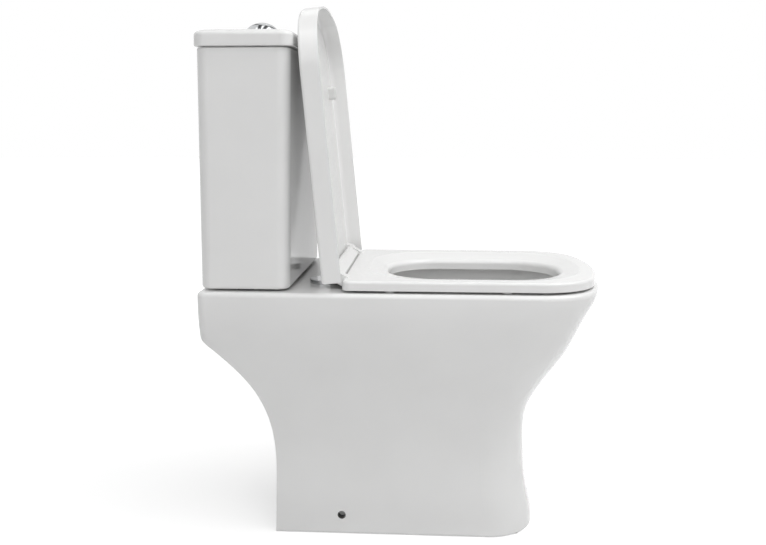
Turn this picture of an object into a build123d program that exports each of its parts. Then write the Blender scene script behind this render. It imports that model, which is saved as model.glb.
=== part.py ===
from build123d import *
from math import sqrt
import os

os.makedirs("parts", exist_ok=True)

# Pan: the china casting that stands on the floor, front towards -Y
DEPTH = 610
PAN_HEIGHT = 400
RIM_HALF_WIDTH = 178
WAIST_HALF_WIDTH = 93
FOOT_HALF_WIDTH = 98
WAIST_SETBACK = 113.5
FOOT_SETBACK = 100
HEEL_SETBACK = 101
HEEL_DROP = 73
HEEL_ROUND = 18
RIM_EDGE = 7
RIM_LIP_EDGE = 5
FOOT_EDGE = 3.5
CHINA_WALL = 12
DECK = 16
RIM_CORNER = 95
WAIST_CORNER = 72
RIM_BOW = 420
WAIST_BOW = 230
BACK_CORNER = 14
BACK_GRIND = 0.3
BACK = DEPTH / 2
FRONT = -DEPTH / 2
WAIST_FRONT = FRONT + WAIST_SETBACK
FOOT_FRONT = FRONT + FOOT_SETBACK
FOOT_BACK = BACK - HEEL_SETBACK
HEEL_HEIGHT = PAN_HEIGHT - HEEL_DROP
deck_top = PAN_HEIGHT
deck_under = PAN_HEIGHT - DECK

# Bowl, trap and outlet inside the pan
BOWL_HALF_WIDTH = 122
BOWL_RIM = 43
BOWL_REAR_RIM = 253
SUMP_HALF_WIDTH = 38
SUMP_LENGTH = 84
SUMP_SETBACK = 271
SUMP_BOTTOM = 44
BOWL_WALL = 12
TRAP_RADIUS = 37
TRAP_WALL = 8
TRAP_BEND = 60
TRAP_CLIMB = 30
SPIGOT_RADIUS = 51
SPIGOT_LENGTH = 40
SPIGOT_SETBACK = 91
OUTLET_HEIGHT = 185
DUCT_HALF_WIDTH = 46
DUCT_HEIGHT = 72
DUCT_WALL = 12
DUCT_ROUND = 10
BOSS_WALL = 10
BOSS_HEIGHT = 34
INLET_RADIUS = 34
BOWL_FRONT = FRONT + BOWL_RIM
BOWL_BACK = BACK - BOWL_REAR_RIM
SUMP_BACK = BACK - SUMP_SETBACK
SUMP_FRONT = SUMP_BACK - SUMP_LENGTH
OUTLET_END = BACK - SPIGOT_SETBACK

# Cistern and its lid
CISTERN_GAP = 3
CISTERN_HEIGHT = 354
CISTERN_BACK_GAP = 3
CISTERN_FOOT_DEPTH = 133
CISTERN_TOP_DEPTH = 138
CISTERN_FOOT_HALF_WIDTH = 164
CISTERN_TOP_HALF_WIDTH = 170
CISTERN_CORNER = 18
CISTERN_EDGE = 4
TANK_EDGE = 8
CISTERN_WALL = 9
CISTERN_FLOOR = 12
COVER_SIDE_OVERHANG = 4
COVER_FRONT_OVERHANG = 5
COVER_CORNER = 17
COVER_GAP = 2
COVER_PAD_INSET = 5.5
COVER_HEIGHT = 28
COVER_SIDE = 15
COVER_ROOF = 18
COVER_EDGE = 1.5
COVER_LIP = 10
COVER_LIP_WALL = 7
LIP_CLEARANCE = 2
WALL_HOLE_RADIUS = 4.5
WALL_HOLE_SPACING = 220
WALL_HOLE_DROP = 67
PAD_INNER = 118
PAD_OUTER = 150
PAD_DEPTH = 24
CISTERN_BACK = BACK - CISTERN_BACK_GAP
CISTERN_FOOT_FRONT = CISTERN_BACK - CISTERN_FOOT_DEPTH
CISTERN_TOP_FRONT = CISTERN_BACK - CISTERN_TOP_DEPTH
COVER_HALF_WIDTH = CISTERN_TOP_HALF_WIDTH + COVER_SIDE_OVERHANG
COVER_FRONT = CISTERN_TOP_FRONT - COVER_FRONT_OVERHANG
cistern_foot = PAN_HEIGHT + CISTERN_GAP
cistern_inside = cistern_foot + CISTERN_FLOOR
CISTERN_TOP = cistern_foot + CISTERN_HEIGHT
cover_foot = CISTERN_TOP + COVER_GAP
cover_top = cover_foot + COVER_HEIGHT

# Flush valve on the middle of the cistern
VALVE_SETBACK = 69
VALVE_TAIL_RADIUS = 30
VALVE_BORE_RADIUS = 25
VALVE_FLANGE_RADIUS = 40
VALVE_FLANGE = 6
VALVE_SEAT = 8
VALVE_TAIL_DROP = 12
TOWER_RADIUS = 38
TOWER_WALL = 3.5
TOWER_HEIGHT = 156
TOWER_LEG = 52
TUBE_RADIUS = 16
TUBE_WALL = 3
TUBE_TOP_DROP = 107
TOWER_GUIDE_CLEARANCE = 0.6
BACK_NUT_RADIUS = 43
BACK_NUT_HEIGHT = 12
DOUGHNUT_RADIUS = 49
RECESS_RADIUS = 50
RECESS_DEPTH = 22
WASHER = 3
VALVE_Y = BACK - VALVE_SETBACK
TUBE_TOP = CISTERN_TOP - TUBE_TOP_DROP
TOWER_TOP = cistern_inside + TOWER_HEIGHT
flange_low = cistern_inside + WASHER
valve_foot = flange_low + VALVE_FLANGE
seal_low = valve_foot + VALVE_SEAT

# Push button on the cistern lid
BEZEL_RADIUS = 31
BEZEL_SINK = 3
BEZEL_HEIGHT = 22.5
BEZEL_WALL = 2.8
SLEEVE_RADIUS = 23.8
SLEEVE_DROP = 22
BUTTON_RADIUS = 14.5
BUTTON_FLANGE = 22.2
BUTTON_CLEARANCE = 0.3
BUTTON_SPLIT = 5
BUTTON_GAP = 0.6
BUTTON_STEP = 0.5
BUTTON_DOME = 3.4
BUTTON_EDGE = 0.5
ROD_RADIUS = 2.5
ROD_X = 19.4
ROD_GAP = 0.3
PLUNGER_RADIUS = 2.2
PLUNGER_CLEARANCE = 0.3
PLUNGER_RISE = 16
PLUNGER_DEPTH = 19
PLUNGER_PAD = 3
PLUNGER_WIDTH = 10
PLUNGER_REACH = 27
BUTTON_BORE_RADIUS = BUTTON_FLANGE + BUTTON_CLEARANCE
plunger_top = TOWER_TOP + PLUNGER_RISE + PLUNGER_PAD
ROD_END = plunger_top + ROD_GAP
bezel_foot = cover_top - BEZEL_SINK
bezel_top = bezel_foot + BEZEL_HEIGHT
bezel_roof = bezel_top - 8

# Fill valve beside the flush valve
FILL_X = 104
FILL_SETBACK = 50
SHANK_RADIUS = 10.4
SHANK_NECK = 10.2
SHANK_LENGTH = 44
SHANK_DROP = 40
FILL_BORE = 6.5
RISER_RADIUS = 11
RISER_TOP_DROP = 97
FILL_COLLAR = 17
FLOAT_RADIUS = 26
FLOAT_HEIGHT = 60
FLOAT_DROP = 98
FLOAT_CLEARANCE = 0.1
HEAD_RADIUS = 19
HEAD_HEIGHT = 30
ARM_PIVOT_SHIFT = 8
ARM_RISE = 18
ARM_REACH = 26
ARM_THICK = 5
ARM_PIN_RADIUS = 1.5
LINK_RADIUS = 2
FILL_Y = BACK - FILL_SETBACK
RISER_TOP = CISTERN_TOP - RISER_TOP_DROP
FLOAT_SEAT = RISER_TOP - FLOAT_DROP
ARM_PIVOT_X = FILL_X + ARM_PIVOT_SHIFT
ARM_HEIGHT = RISER_TOP + ARM_RISE

# Fixings through the deck
BOLT_X = 74
BOLT_RADIUS = 4
FIXING_X = 77.5
FIXING_SETBACK = 182
STUD_RADIUS = 4
HINGE_HOLE_RADIUS = 7.5
INLET_HOLE_RADIUS = 22
SIDE_HOLE_RADIUS = 6.5
SIDE_HOLE_SETBACK = 105
SIDE_HOLE_HEIGHT = 30
FIXING_Y = BACK - FIXING_SETBACK
SIDE_HOLE_Y = FOOT_BACK - SIDE_HOLE_SETBACK

# Seat, lid and hinge; the lid and seat turn about one line along X
PIVOT_OFFSET = 17
PIVOT_RISE = 21
LID_OPEN_ANGLE = 95.5
LID_HALF_WIDTH = 175
LID_OVERHANG = 0.5
LID_TAIL = 6.8
LID_UNDER = 16
LID_OVER = 13
LID_WALL = 3
LID_EDGE = 4
LID_INNER_EDGE = 7
LID_CORNER = 92
LID_BOW = 425
SEAT_HALF_WIDTH = 170
SEAT_INSET = 5
SEAT_HINGE_GAP = 16
SEAT_RISE = 3.5
SEAT_THICK = 14.5
SEAT_CORNER = 88
SEAT_EDGE = 4.5
SEAT_LIP = 6.5
SEAT_SKIRT = 9.5
SEAT_SKIRT_WALL = 5
SEAT_ROLL = 8
HOLE_HALF_WIDTH = 98
HOLE_INSET = 54
HOLE_REAR_INSET = 60
RIDGE_HALF_WIDTH = 146
RIDGE_INSET = 23
RIDGE_REAR_INSET = 30
RIDGE_ROUND = 14
BAR_HALF_LENGTH = 117.5
BAR_DEPTH = 15
BAR_ROUND = 7.5
BAR_STEP = 1.5
DISC_RADIUS = 26
DISC_THICK = 6
PEG_HEIGHT = 7
SEAT_EAR = (119.5, 138.5)
LID_EAR = (140, 158)
EAR_RADIUS = 7.5
PIN_RADIUS = 4
PIN_CLEARANCE = 0.06
PIN_END = 162
DAMPER_RADIUS = 6
DAMPER_LENGTH = 62
BUFFER_REST = 0.3
LID_BUFFER_X = 120
LID_BUFFER_WIDTH = 14
LID_BUFFER_LENGTH = 22
LID_BUFFER_INSET = 130.5
SEAT_BUFFER_X = 157
SEAT_BUFFER_RADIUS = 8
SEAT_BUFFER_INSET = 148
SEAT_BUFFER_SPACING = 172
PIVOT_Y = FIXING_Y - PIVOT_OFFSET
PIVOT_HEIGHT = PAN_HEIGHT + PIVOT_RISE
LID_FRONT = FRONT - LID_OVERHANG
SEAT_FRONT = FRONT + SEAT_INSET
SEAT_REAR = PIVOT_Y - SEAT_HINGE_GAP
SEAT_BOTTOM = PAN_HEIGHT + SEAT_RISE
HOLE_FRONT = SEAT_FRONT + HOLE_INSET
HOLE_REAR = SEAT_REAR - HOLE_REAR_INSET
RIDGE_FRONT = SEAT_FRONT + RIDGE_INSET
RIDGE_REAR = SEAT_REAR - RIDGE_REAR_INSET
BAR_FRONT = PIVOT_Y - BAR_DEPTH
lid_bottom = PIVOT_HEIGHT - LID_UNDER
lid_top = PIVOT_HEIGHT + LID_OVER
seat_top = SEAT_BOTTOM + SEAT_THICK


def rod(radius, low, high, x=0.0, y=0.0):
    return Pos(x, y, (low + high) / 2) * Cylinder(radius, high - low)


def ring(outer, inner, low, high, x=0.0, y=0.0):
    return rod(outer, low, high, x, y) - rod(inner, low - 1, high + 1, x, y)


def cross_rod(radius, near, far, y, z):
    bar = Rot(0, 90, 0) * Cylinder(radius, far - near)
    return Pos((near + far) / 2, y, z) * bar


def block(x_low, x_high, y_low, y_high, z_low, z_high):
    size = Box(x_high - x_low, y_high - y_low, z_high - z_low)
    return Pos((x_low + x_high) / 2, (y_low + y_high) / 2, (z_low + z_high) / 2) * size


def both_sides(shape):
    return shape + mirror(shape, about=Plane.YZ)


def side_face(curve):
    return Plane.YZ * make_face(curve)


def d_outline(half_width, front, back, corner, bow, back_corner, height):
    # A D-shaped plan: bowed front, round front corners, straight sides, square-ish back
    bow_y = front + bow
    corner_x = half_width - corner
    corner_y = bow_y - sqrt((bow - corner) ** 2 - corner_x ** 2)
    reach = sqrt(corner_x ** 2 + (corner_y - bow_y) ** 2)
    lean = Vector(corner_x / reach, (corner_y - bow_y) / reach)
    touch = Vector(0, bow_y) + lean * bow
    halfway = (lean + Vector(1, 0)).normalized()
    bend = Vector(corner_x, corner_y) + halfway * corner
    square = back_corner * (1 - sqrt(0.5))
    right = [
        ThreePointArc((touch.X, touch.Y), (bend.X, bend.Y), (half_width, corner_y)),
        Line((half_width, corner_y), (half_width, back - back_corner)),
        ThreePointArc(
            (half_width, back - back_corner),
            (half_width - square, back - square),
            (half_width - back_corner, back),
        ),
    ]
    across = Line((half_width - back_corner, back), (back_corner - half_width, back))
    left = [
        ThreePointArc(
            (back_corner - half_width, back),
            (square - half_width, back - square),
            (-half_width, back - back_corner),
        ),
        Line((-half_width, back - back_corner), (-half_width, corner_y)),
        ThreePointArc((-half_width, corner_y), (-bend.X, bend.Y), (-touch.X, touch.Y)),
    ]
    nose = ThreePointArc((-touch.X, touch.Y), (0, front), (touch.X, touch.Y))
    outline = make_face([nose] + right + [across] + left)
    return Pos(0, 0, height) * outline


def pan_section(height, side_flare, front_flare, inset):
    # Flare is 0 at the waist and 1 at the rim
    half_width = WAIST_HALF_WIDTH + (RIM_HALF_WIDTH - WAIST_HALF_WIDTH) * side_flare
    front = WAIST_FRONT + (FRONT - WAIST_FRONT) * front_flare
    corner = WAIST_CORNER + (RIM_CORNER - WAIST_CORNER) * max(side_flare, 0)
    bow = WAIST_BOW + (RIM_BOW - WAIST_BOW) * max(side_flare, 0)
    return d_outline(
        half_width - inset,
        front + inset,
        BACK + BACK_GRIND - inset,
        corner - inset,
        bow - inset,
        BACK_CORNER - min(inset, BACK_CORNER - 3),
        height,
    )


def pan_body(inset, low, high):
    foot_side = (FOOT_HALF_WIDTH - WAIST_HALF_WIDTH) / (RIM_HALF_WIDTH - WAIST_HALF_WIDTH)
    foot_front = (FOOT_FRONT - WAIST_FRONT) / (FRONT - WAIST_FRONT)
    stations = [
        (0.110, foot_side * 0.6, foot_front * 0.66),
        (0.225, foot_side * 0.15, foot_front * 0.15),
        (0.350, 0.0, 0.0),
        (0.475, 0.13, 0.035),
        (0.588, 0.32, 0.225),
        (0.688, 0.55, 0.463),
        (0.788, 0.78, 0.670),
        (0.875, 0.93, 0.815),
    ]
    sections = [pan_section(low, foot_side, foot_front, inset)]
    for share, side, front in stations:
        sections.append(pan_section(PAN_HEIGHT * share, side, front, inset))
    sections.append(pan_section(deck_under, 0.99, 0.978, inset))
    if high > deck_under:
        sections.append(pan_section(high, 1.0, 1.0, inset))
    return loft(sections)


def bowl_body(grow, top):
    # Stations run from the sump up to the rim; 0 is the sump and 1 the rim opening
    stations = [
        (0.0, 0.0, 0.0),
        (0.13, 0.09, 0.10),
        (0.27, 0.19, 0.28),
        (0.44, 0.41, 0.55),
        (0.61, 0.68, 0.78),
        (0.78, 0.905, 0.94),
        (0.90, 0.985, 0.99),
    ]
    sections = []
    for share, side, front in stations:
        height = SUMP_BOTTOM + (PAN_HEIGHT - SUMP_BOTTOM) * share
        if share == 0:
            height -= grow
        sections.append(bowl_section(side, front, grow, height))
    sections.append(bowl_section(1.0, 1.0, grow, top))
    return loft(sections)


def bowl_section(side, front, grow, height):
    half_width = SUMP_HALF_WIDTH + (BOWL_HALF_WIDTH - SUMP_HALF_WIDTH) * side + grow
    nose = SUMP_FRONT + (BOWL_FRONT - SUMP_FRONT) * front - grow
    tail = SUMP_BACK + (BOWL_BACK - SUMP_BACK) * side + grow
    round_corner = half_width * 0.82
    return d_outline(half_width, nose, tail, round_corner, half_width * 2.2, round_corner, height)


def trap_path():
    return FilletPolyline(
        (0, SUMP_FRONT + 10, SUMP_BOTTOM + TRAP_RADIUS),
        (0, SUMP_BACK + 21, SUMP_BOTTOM + TRAP_RADIUS - 3),
        (0, SUMP_BACK + 51, OUTLET_HEIGHT + TRAP_CLIMB),
        (0, OUTLET_END - SPIGOT_LENGTH - 13, OUTLET_HEIGHT),
        (0, OUTLET_END, OUTLET_HEIGHT),
        radius=TRAP_BEND,
    )


def trap_tube(radius):
    path = trap_path()
    start = Plane(origin=path @ 0, z_dir=path % 0)
    return sweep(start * Circle(radius), path=path)


def outlet_rod(radius, near, far):
    bar = Rot(90, 0, 0) * Cylinder(radius, far - near)
    return Pos(0, (near + far) / 2, OUTLET_HEIGHT) * bar


def heel_cut():
    # Everything behind the curved rear edge of the skirt
    reach = BACK + 60
    curve = [
        Bezier(
            (BACK, HEEL_HEIGHT),
            (FOOT_BACK + 22, HEEL_HEIGHT - 75),
            (FOOT_BACK - 1, HEEL_HEIGHT - 127),
            (FOOT_BACK - 1, HEEL_HEIGHT - 237),
        ),
        Line((FOOT_BACK - 1, HEEL_HEIGHT - 237), (FOOT_BACK, -10)),
        Line((FOOT_BACK, -10), (reach, -10)),
        Line((reach, -10), (reach, HEEL_HEIGHT)),
        Line((reach, HEEL_HEIGHT), (BACK, HEEL_HEIGHT)),
    ]
    return extrude(side_face(curve), amount=RIM_HALF_WIDTH + 20, dir=(1, 0, 0), both=True)


def on_bowl_mouth(edge):
    box = edge.bounding_box()
    level = abs(box.min.Z - PAN_HEIGHT) < 0.01 and abs(box.max.Z - PAN_HEIGHT) < 0.01
    return level and box.min.Y > BOWL_FRONT - 3 and box.max.Y < BOWL_BACK + 3


def make_pan():
    body = pan_body(0, 0, PAN_HEIGHT)
    rim_edges = body.faces().sort_by(Axis.Z)[-1].edges()
    body = fillet(rim_edges, RIM_EDGE)
    body = fillet(body.faces().sort_by(Axis.Z)[0].edges(), FOOT_EDGE)
    # The rear is ground flat to stand against a wall
    body -= block(-RIM_HALF_WIDTH, RIM_HALF_WIDTH, BACK, BACK + 10, -1, PAN_HEIGHT + 1)
    body -= heel_cut()
    heel = body.edges().filter_by(Axis.X).sort_by(Axis.Z)
    heel = [e for e in heel if abs(e.center().Z - HEEL_HEIGHT) < 2 and e.center().Y > BACK - 2]
    body = fillet(heel, HEEL_ROUND)
    hollow = pan_body(CHINA_WALL, 0, deck_under)
    duct_foot = deck_under - DUCT_HEIGHT
    duct_end = VALVE_Y + INLET_RADIUS + BOSS_WALL
    duct = block(
        -DUCT_HALF_WIDTH, DUCT_HALF_WIDTH, BOWL_BACK - BOWL_WALL, duct_end, duct_foot, deck_under + 4
    )
    duct = fillet(duct.edges().filter_by(Axis.Y), DUCT_ROUND)
    boss = rod(RECESS_RADIUS + BOSS_WALL, deck_under - BOSS_HEIGHT, deck_under + 4, 0, VALVE_Y)
    spigot = outlet_rod(SPIGOT_RADIUS, OUTLET_END - SPIGOT_LENGTH, OUTLET_END)
    bowl_shell = bowl_body(BOWL_WALL, PAN_HEIGHT - 5)
    core = bowl_shell + trap_tube(TRAP_RADIUS + TRAP_WALL) + spigot + duct + boss
    pan = (body - hollow) + core
    pan -= bowl_body(0, PAN_HEIGHT + 1)
    mouth = [e for e in pan.edges() if on_bowl_mouth(e)]
    pan = fillet(mouth, RIM_LIP_EDGE)
    pan -= trap_tube(TRAP_RADIUS)
    duct_half = DUCT_HALF_WIDTH - DUCT_WALL
    duct_space = block(
        -duct_half,
        duct_half,
        BOWL_BACK - 2 * BOWL_WALL - 2,
        duct_end - DUCT_WALL,
        duct_foot + DUCT_WALL,
        deck_under - RECESS_DEPTH + 2,
    )
    pan -= fillet(duct_space.edges().filter_by(Axis.Y), DUCT_ROUND - 2)
    pan -= rod(RECESS_RADIUS, deck_top - RECESS_DEPTH, deck_top + 1, 0, VALVE_Y)
    pan -= rod(INLET_RADIUS, deck_under - BOSS_HEIGHT + 4, deck_top, 0, VALVE_Y)
    for side in (-1, 1):
        pan -= rod(BOLT_RADIUS + 2.5, deck_under - 5, deck_top + 1, side * BOLT_X, VALVE_Y)
        pan -= rod(HINGE_HOLE_RADIUS, deck_under - 5, deck_top + 1, side * FIXING_X, FIXING_Y)
    pan -= rod(INLET_HOLE_RADIUS, deck_under - 5, deck_top + 1, FILL_X, FILL_Y)
    side_hole = cross_rod(
        SIDE_HOLE_RADIUS,
        WAIST_HALF_WIDTH - 3 * CHINA_WALL,
        FOOT_HALF_WIDTH + CHINA_WALL,
        SIDE_HOLE_Y,
        SIDE_HOLE_HEIGHT,
    )
    pan -= both_sides(side_hole)
    return pan


def slab_section(half_width, front, back, corner, height):
    plan = RectangleRounded(2 * half_width, back - front, corner)
    return Pos(0, (front + back) / 2, height) * plan


def cistern_block(inset, low, high):
    # The cistern widens a little towards its top
    share = CISTERN_TOP - cistern_foot
    sections = []
    for height in (low, high):
        up = (height - cistern_foot) / share
        half = CISTERN_FOOT_HALF_WIDTH
        half += (CISTERN_TOP_HALF_WIDTH - CISTERN_FOOT_HALF_WIDTH) * up
        front = CISTERN_FOOT_FRONT + (CISTERN_TOP_FRONT - CISTERN_FOOT_FRONT) * up
        sections.append(
            slab_section(
                half - inset,
                front + inset,
                CISTERN_BACK - inset,
                CISTERN_CORNER - inset / 2,
                height,
            )
        )
    return loft(sections)


def make_cistern():
    shell = cistern_block(0, cistern_foot, CISTERN_TOP)
    shell = fillet(shell.faces().sort_by(Axis.Z)[0].edges(), CISTERN_EDGE)
    hollow = cistern_block(CISTERN_WALL, cistern_inside, CISTERN_TOP + 1)
    hollow = fillet(hollow.faces().sort_by(Axis.Z)[0].edges(), TANK_EDGE)
    shell -= hollow
    shell = fillet(shell.faces().sort_by(Axis.Z)[-1].edges(), 1.5)
    shell -= rod(VALVE_TAIL_RADIUS + 1, cistern_foot - 1, cistern_inside + 1, 0, VALVE_Y)
    shell -= rod(SHANK_RADIUS + 0.8, cistern_foot - 1, cistern_inside + 1, FILL_X, FILL_Y)
    for side in (-1, 1):
        shell -= rod(BOLT_RADIUS + 2, cistern_foot - 1, cistern_inside + 1, side * BOLT_X, VALVE_Y)
        hole = Rot(90, 0, 0) * Cylinder(WALL_HOLE_RADIUS, 3 * CISTERN_WALL)
        shell -= Pos(side * WALL_HOLE_SPACING / 2, CISTERN_BACK, CISTERN_TOP - WALL_HOLE_DROP) * hole
    return shell


def cover_section(inset, height):
    corner = max(COVER_CORNER - inset * 0.15, 8)
    return slab_section(COVER_HALF_WIDTH - inset, COVER_FRONT + inset, BACK - inset, corner, height)


def make_cover():
    # Straight sides below, a soft shoulder and a pillow-shaped crown above
    sides = extrude(cover_section(0, cover_foot), amount=COVER_SIDE / 2)
    sides = fillet(sides.faces().sort_by(Axis.Z)[0].edges(), COVER_EDGE)
    shoulder = [(0, -COVER_SIDE / 2), (0, 0), (1.6, 5.0), (6.2, 8.0)]
    rise = cover_top - cover_foot - COVER_SIDE - shoulder[-1][1]
    crown = [(14, 0.22), (22.5, 0.43), (31, 0.61), (40, 0.77), (49, 0.91), (58, 1.0)]
    profile = shoulder + [(inset, shoulder[-1][1] + rise * up) for inset, up in crown]
    crown = loft([cover_section(inset, cover_foot + COVER_SIDE + up) for inset, up in profile])
    seat_pad = slab_section(
        CISTERN_TOP_HALF_WIDTH - COVER_PAD_INSET,
        CISTERN_TOP_FRONT + COVER_PAD_INSET,
        CISTERN_BACK - COVER_PAD_INSET,
        CISTERN_CORNER - COVER_PAD_INSET / 2,
        CISTERN_TOP,
    )
    lip_inset = CISTERN_WALL + LIP_CLEARANCE
    lip = slab_section(
        CISTERN_TOP_HALF_WIDTH - lip_inset,
        CISTERN_TOP_FRONT + lip_inset,
        CISTERN_BACK - lip_inset,
        CISTERN_CORNER - lip_inset / 2,
        CISTERN_TOP - COVER_LIP,
    )
    pocket = slab_section(
        CISTERN_TOP_HALF_WIDTH - lip_inset - COVER_LIP_WALL,
        CISTERN_TOP_FRONT + lip_inset + COVER_LIP_WALL,
        CISTERN_BACK - lip_inset - COVER_LIP_WALL,
        8,
        CISTERN_TOP - COVER_LIP - 1,
    )
    cover = sides + crown
    cover += extrude(seat_pad, amount=COVER_GAP + 1)
    cover += extrude(lip, amount=COVER_LIP + 1)
    cover -= extrude(pocket, amount=bezel_foot - COVER_ROOF - CISTERN_TOP + COVER_LIP + 1)
    cover -= rod(BEZEL_RADIUS + 0.5, bezel_foot, cover_top + 5, 0, VALVE_Y)
    cover -= rod(SLEEVE_RADIUS + 0.2, CISTERN_TOP - 20, cover_top, 0, VALVE_Y)
    return cover


def make_bezel():
    # A flared ring with a bell-shaped slope, over a sleeve that guides the buttons
    foot = CISTERN_TOP - SLEEVE_DROP
    mouth = BUTTON_RADIUS + BUTTON_CLEARANCE
    slope = Spline(
        (BEZEL_RADIUS, bezel_foot + BEZEL_SINK),
        (BUTTON_FLANGE + BEZEL_WALL, bezel_roof + 0.5),
        (mouth + 1.4, bezel_top),
    )
    outline = [
        slope,
        Line((mouth + 1.4, bezel_top), (0, bezel_top)),
        Line((0, bezel_top), (0, foot)),
        Line((0, foot), (SLEEVE_RADIUS, foot)),
        Line((SLEEVE_RADIUS, foot), (SLEEVE_RADIUS, bezel_foot)),
        Line((SLEEVE_RADIUS, bezel_foot), (BEZEL_RADIUS, bezel_foot)),
        Line((BEZEL_RADIUS, bezel_foot), (BEZEL_RADIUS, bezel_foot + BEZEL_SINK)),
    ]
    outer = Pos(0, VALVE_Y, 0) * revolve(Plane.XZ * make_face(outline), Axis.Z)
    outer -= rod(BUTTON_BORE_RADIUS, foot + 4, bezel_roof, 0, VALVE_Y)
    outer -= rod(mouth, bezel_roof - 1, bezel_top + 1, 0, VALVE_Y)
    for side in (-1, 1):
        outer -= rod(ROD_RADIUS + 0.3, foot - 1, foot + 5, side * ROD_X, VALVE_Y)
    return outer


def make_buttons():
    # A domed cap in the bezel's mouth, on a wider flange that carries the rods
    base = bezel_foot - BEZEL_SINK
    edge = bezel_top + BUTTON_STEP
    dome_radius = (BUTTON_RADIUS ** 2 + BUTTON_DOME ** 2) / (2 * BUTTON_DOME)
    cap = rod(BUTTON_RADIUS, base, edge + BUTTON_DOME, 0, VALVE_Y)
    dome = Pos(0, VALVE_Y, edge + BUTTON_DOME - dome_radius) * Sphere(dome_radius)
    cap = cap & (dome + rod(BUTTON_RADIUS, base, edge, 0, VALVE_Y))
    cap += rod(BUTTON_FLANGE, base, bezel_roof - 1, 0, VALVE_Y)
    reach = BUTTON_FLANGE + 5
    near = BUTTON_SPLIT - BUTTON_GAP / 2
    far = BUTTON_SPLIT + BUTTON_GAP / 2
    top = edge + BUTTON_DOME + 5
    full = cap & block(-reach, near, VALVE_Y - reach, VALVE_Y + reach, base - 1, top)
    half = cap & block(far, reach, VALVE_Y - reach, VALVE_Y + reach, base - 1, top)
    full = fillet(full.faces().sort_by(Axis.Z)[-1].edges(), BUTTON_EDGE)
    half = fillet(half.faces().sort_by(Axis.Z)[-1].edges(), BUTTON_EDGE)
    return full, half, base


def make_back_nut():
    low = cistern_foot - BACK_NUT_HEIGHT
    nut = ring(BACK_NUT_RADIUS, VALVE_TAIL_RADIUS, low, cistern_foot, 0, VALVE_Y)
    notch = rod(4, low - 1, cistern_foot - 4, BACK_NUT_RADIUS, 0)
    for step in range(8):
        nut -= Pos(0, VALVE_Y, 0) * Rot(0, 0, 45 * step) * notch
    return nut


def make_doughnut():
    low = deck_top - RECESS_DEPTH
    body = ring(DOUGHNUT_RADIUS, VALVE_TAIL_RADIUS + 0.5, low, cistern_foot, 0, VALVE_Y)
    return body - rod(
        BACK_NUT_RADIUS + 0.5, cistern_foot - BACK_NUT_HEIGHT - 2, cistern_foot + 1, 0, VALVE_Y
    )


def make_valve_base():
    foot = deck_under - VALVE_TAIL_DROP
    base = rod(VALVE_TAIL_RADIUS, foot, flange_low, 0, VALVE_Y)
    base += rod(VALVE_FLANGE_RADIUS, flange_low, valve_foot, 0, VALVE_Y)
    base += rod(VALVE_TAIL_RADIUS + 1, valve_foot, seal_low, 0, VALVE_Y)
    return base - rod(VALVE_BORE_RADIUS, foot - 8, seal_low + 6, 0, VALVE_Y)


def make_tower():
    foot = valve_foot
    shoulder = foot + TOWER_LEG
    inner = TOWER_RADIUS - TOWER_WALL
    tower = ring(VALVE_FLANGE_RADIUS, TOWER_RADIUS - 5, foot, foot + 6, 0, VALVE_Y)
    leg = block(inner - 1, TOWER_RADIUS, -5, 5, foot + 3, shoulder + 8)
    for step in range(4):
        tower += Pos(0, VALVE_Y, 0) * Rot(0, 0, 45 + 90 * step) * leg
    tower += ring(TOWER_RADIUS, inner, shoulder, TOWER_TOP, 0, VALVE_Y)
    tower += rod(TOWER_RADIUS, TOWER_TOP - 5, TOWER_TOP, 0, VALVE_Y)
    tower += rod(TUBE_RADIUS + 4, TOWER_TOP, TOWER_TOP + 10, 0, VALVE_Y)
    guide = TUBE_RADIUS + TOWER_GUIDE_CLEARANCE
    tower -= rod(guide, TOWER_TOP - 20, TOWER_TOP + 20, 0, VALVE_Y)
    # The collar is notched where the plungers sink beside the tube
    half = PLUNGER_WIDTH / 2 + 0.5
    notch = block(0, TOWER_RADIUS, VALVE_Y - half, VALVE_Y + half, TOWER_TOP, TOWER_TOP + 20)
    hole = rod(PLUNGER_RADIUS + PLUNGER_CLEARANCE, TOWER_TOP - 20, TOWER_TOP + 1, ROD_X, VALVE_Y)
    return tower - both_sides(notch) - both_sides(hole)


def make_plunger():
    # A button rod presses the pad, which runs in a hole of the tower's top
    half = PLUNGER_WIDTH / 2
    low = TOWER_TOP - PLUNGER_DEPTH
    pad_low = TOWER_TOP + PLUNGER_RISE
    inner = TUBE_RADIUS + 1.2
    pad = block(inner, PLUNGER_REACH, VALVE_Y - half, VALVE_Y + half, pad_low, plunger_top)
    pad = fillet(pad.edges().filter_by(Axis.Z), 3)
    stem = rod(PLUNGER_RADIUS, low, plunger_top - 1, ROD_X, VALVE_Y)
    foot = rod(PLUNGER_RADIUS + 0.8, low, low + 2, ROD_X, VALVE_Y)
    return pad + stem + foot


def make_tube():
    tube = rod(TUBE_RADIUS, seal_low - 6, TUBE_TOP, 0, VALVE_Y)
    tube += rod(TUBE_RADIUS + 6, seal_low - 6, seal_low, 0, VALVE_Y)
    tube += rod(VALVE_TAIL_RADIUS, seal_low + WASHER, seal_low + WASHER + 4, 0, VALVE_Y)
    return tube - rod(TUBE_RADIUS - TUBE_WALL, seal_low - 10, TUBE_TOP + 10, 0, VALVE_Y)


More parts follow.
